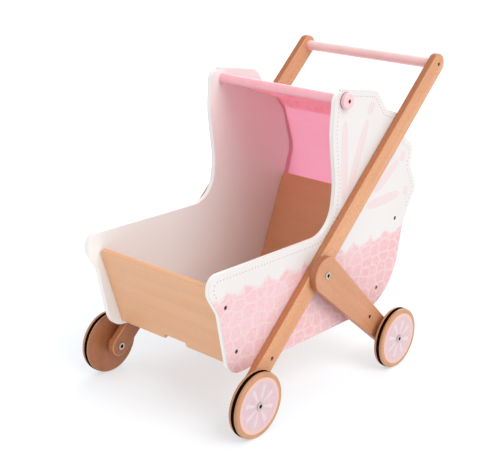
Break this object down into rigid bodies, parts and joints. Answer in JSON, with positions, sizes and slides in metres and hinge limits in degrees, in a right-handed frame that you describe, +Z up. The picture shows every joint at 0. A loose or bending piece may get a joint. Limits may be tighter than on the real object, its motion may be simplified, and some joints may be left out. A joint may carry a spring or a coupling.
{
  "type": "doll stroller",
  "caption": "Wooden doll stroller: open bed between wing-shaped side panels, fabric hood, slanted push arms with a dowel handle, and free-turning wheels with rubber rings.",
  "frame": {"origin": "on the floor under the middle of the stroller's box", "axes": "+X to the stroller's right as it faces the viewer, -Y its front, +Z up"},
  "size_m": [0.4218, 0.644, 0.597],
  "materials": {
    "beech": "clear-lacquered solid beech, satin",
    "panel_paint": "white satin paint on fibreboard, outer faces printed in pale pink",
    "pink_paint": "pink satin paint on turned wood",
    "handle_paint": "pale pink satin paint on turned wood",
    "hood_cloth": "plain-woven cotton",
    "wheel_wood": "lacquered beech plywood, printed outer face",
    "ring_rubber": "matte black rubber",
    "fastener_steel": "zinc-plated"
  },
  "bodies": {
    "frame": {"right_side_panel": "panel_paint", "left_side_panel": "panel_paint", "front_board": "beech", "back_board": "beech", "floor_board": "beech", "hood_fabric": "hood_cloth", "hood_dowel": "pink_paint", "right_hood_knob": "pink_paint", "left_hood_knob": "pink_paint", "hood_screws": "fastener_steel", "right_arm": "beech", "left_arm": "beech", "handle_dowel": "handle_paint", "handle_screws": "fastener_steel", "right_leg": "beech", "left_leg": "beech", "leg_spacers": "beech", "pivot_bolts": "fastener_steel", "pivot_nuts": "fastener_steel", "arm_screws": "fastener_steel", "leg_screws": "fastener_steel", "board_screws": "fastener_steel", "axle_nuts": "fastener_steel", "axle_bolts": "fastener_steel", "axle_spacers": "beech"},
    "wheel_front_right": {"front_right_wheel": "wheel_wood", "front_right_tyre": "ring_rubber"},
    "wheel_front_left": {"front_left_wheel": "wheel_wood", "front_left_tyre": "ring_rubber"},
    "wheel_rear_right": {"rear_right_wheel": "wheel_wood", "rear_right_tyre": "ring_rubber"},
    "wheel_rear_left": {"rear_left_wheel": "wheel_wood", "rear_left_tyre": "ring_rubber"}
  },
  "joints": [
    {"name": "front_right_spin", "type": "hinge", "parent": "frame", "child": "wheel_front_right", "pos_m": [0.1845, -0.238, 0.06], "axis": [1, 0, 0], "continuous": true},
    {"name": "front_left_spin", "type": "hinge", "parent": "frame", "child": "wheel_front_left", "pos_m": [-0.1845, -0.238, 0.06], "axis": [1, 0, 0], "continuous": true},
    {"name": "rear_right_spin", "type": "hinge", "parent": "frame", "child": "wheel_rear_right", "pos_m": [0.1995, 0.164, 0.06], "axis": [1, 0, 0], "continuous": true},
    {"name": "rear_left_spin", "type": "hinge", "parent": "frame", "child": "wheel_rear_left", "pos_m": [-0.1995, 0.164, 0.06], "axis": [1, 0, 0], "continuous": true}
  ]
}
